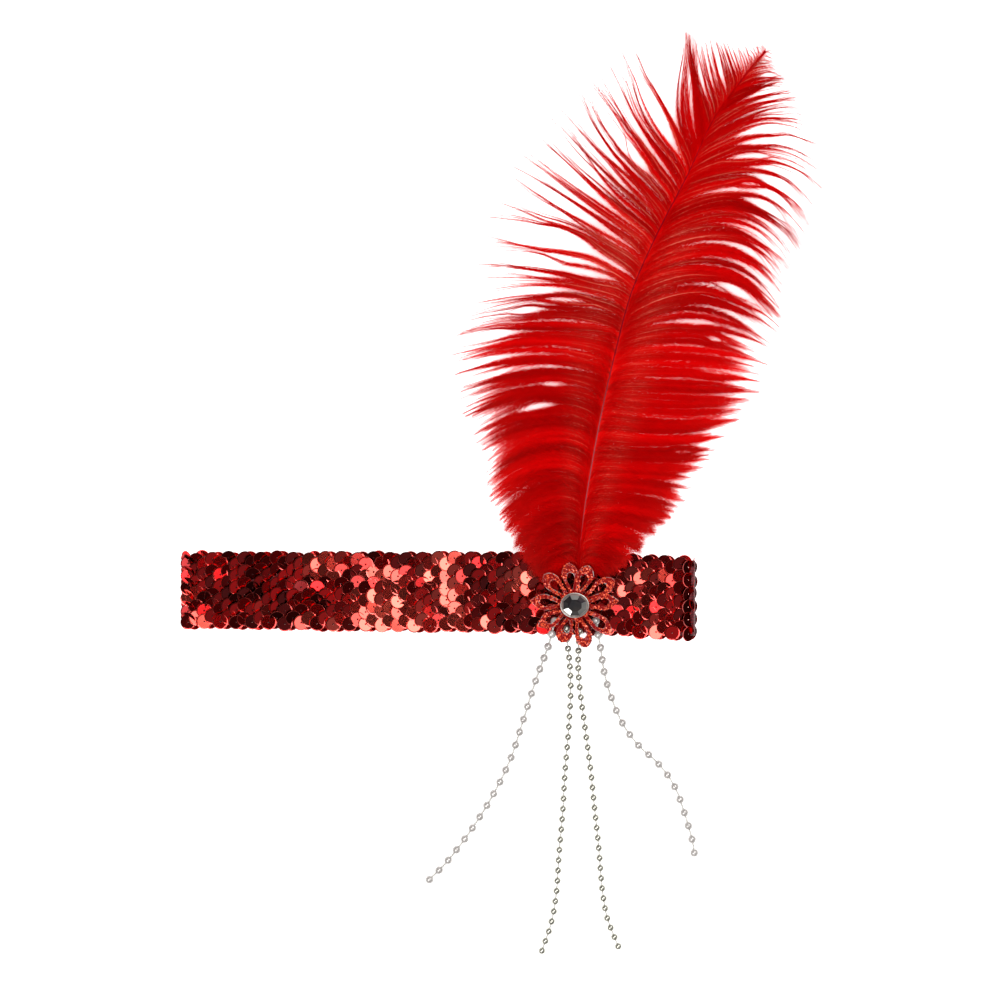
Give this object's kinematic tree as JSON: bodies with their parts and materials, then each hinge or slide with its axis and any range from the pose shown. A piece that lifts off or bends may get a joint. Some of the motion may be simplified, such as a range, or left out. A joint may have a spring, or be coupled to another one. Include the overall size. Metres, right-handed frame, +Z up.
{
  "type": "flapper feather headband",
  "caption": "Sequin stretch headband laid flat, with a curved ostrich plume, a pierced glitter flower set with a cut stone, and hanging strings of beads.",
  "frame": {"origin": "centre of the flat band's underside, on the surface that the headband lies on", "axes": "+X along the band, +Y across the band towards the plume's tip, +Z up through the front of the headband"},
  "size_m": [0.3065, 0.4389, 0.019],
  "materials": {
    "sequin_red": "dark red metallic cup sequins on stretch cloth",
    "feather_red": "soft dyed ostrich barbs, bright red with paler tips",
    "glitter_red": "orange red glitter sheet with pale cut edges",
    "crystal_silver": "foil-backed cut acrylic, silver grey",
    "pearl_grey": "pearly grey-white plastic beads",
    "silver_bead": "silver-plated plastic beads"
  },
  "bodies": {
    "root": {"sequin_band": "sequin_red", "plume": "feather_red", "flower": "glitter_red", "rhinestone": "crystal_silver", "pearl_strand_left": "pearl_grey", "pearl_strand_right": "pearl_grey", "silver_strand_left": "silver_bead", "silver_strand_right": "silver_bead"}
  },
  "joints": []
}
